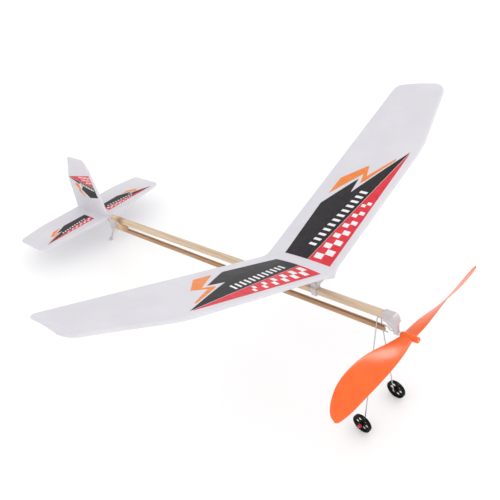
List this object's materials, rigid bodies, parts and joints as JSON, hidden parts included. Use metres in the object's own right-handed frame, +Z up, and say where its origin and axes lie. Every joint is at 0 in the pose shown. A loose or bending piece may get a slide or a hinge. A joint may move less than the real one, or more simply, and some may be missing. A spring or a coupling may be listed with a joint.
{
  "type": "rubber band plane",
  "caption": "Rubber band powered stick aeroplane with foam wing and tail, wire undercarriage and a twin-blade propeller.",
  "frame": {"origin": "on the ground under the middle of the aeroplane's length, as it stands on its wheels and tail skid", "axes": "+X forward towards the propeller, +Y to the pilot's left, +Z up"},
  "size_m": [0.5229, 0.4508, 0.2153],
  "materials": {
    "wood": "sanded, uncoated light wood",
    "clear_plastic": "translucent moulded plastic",
    "bead_plastic": "small smooth white bead",
    "steel_wire": "drawn spring steel wire",
    "orange_plastic": "glossy moulded orange plastic",
    "rubber_band": "tan-brown rubber strip",
    "foam": "white moulded foam sheet with a fine bead grain",
    "black_plastic": "glossy black moulded plastic",
    "red_plastic": "red plastic sleeve",
    "print_black": "printed film, black",
    "print_red": "printed film, red",
    "print_orange": "printed film, orange",
    "print_white": "printed film, white"
  },
  "bodies": {
    "airframe": {"motor_stick": "wood", "nose_bearing": "clear_plastic", "tail_mount": "clear_plastic", "tail_skid": "clear_plastic", "stabilizer": "foam", "fin": "foam", "landing_gear_wire": "steel_wire", "axle_stop_left": "red_plastic", "axle_stop_right": "red_plastic", "rubber_motor": "rubber_band"},
    "wing": {"wing_left": "foam", "wing_right": "foam", "wing_saddle": "clear_plastic", "wing_clip_front": "clear_plastic", "wing_clip_rear": "clear_plastic"},
    "propeller": {"propeller": "orange_plastic", "prop_shaft": "steel_wire", "thrust_bead": "bead_plastic"},
    "wheel_left": {"wheel_left": "black_plastic"},
    "wheel_right": {"wheel_right": "black_plastic"}
  },
  "joints": [
    {"name": "propeller_spin", "type": "hinge", "parent": "airframe", "child": "propeller", "pos_m": [0.25259, 0, 0.11704], "axis": [0.9788, 0, 0.2048], "continuous": true, "deforming": ["rubber_motor"]},
    {"name": "wheel_left_spin", "type": "hinge", "parent": "airframe", "child": "wheel_left", "pos_m": [0.22692, 0.026, 0.0095], "axis": [0, 1, 0], "continuous": true},
    {"name": "wheel_right_spin", "type": "hinge", "parent": "airframe", "child": "wheel_right", "pos_m": [0.22692, -0.026, 0.0095], "axis": [0, 1, 0], "continuous": true},
    {"name": "wing_trim_slide", "type": "slide", "parent": "airframe", "child": "wing", "axis": [0.9788, 0, 0.2048], "range_m": [-0.03, 0.03]}
  ]
}
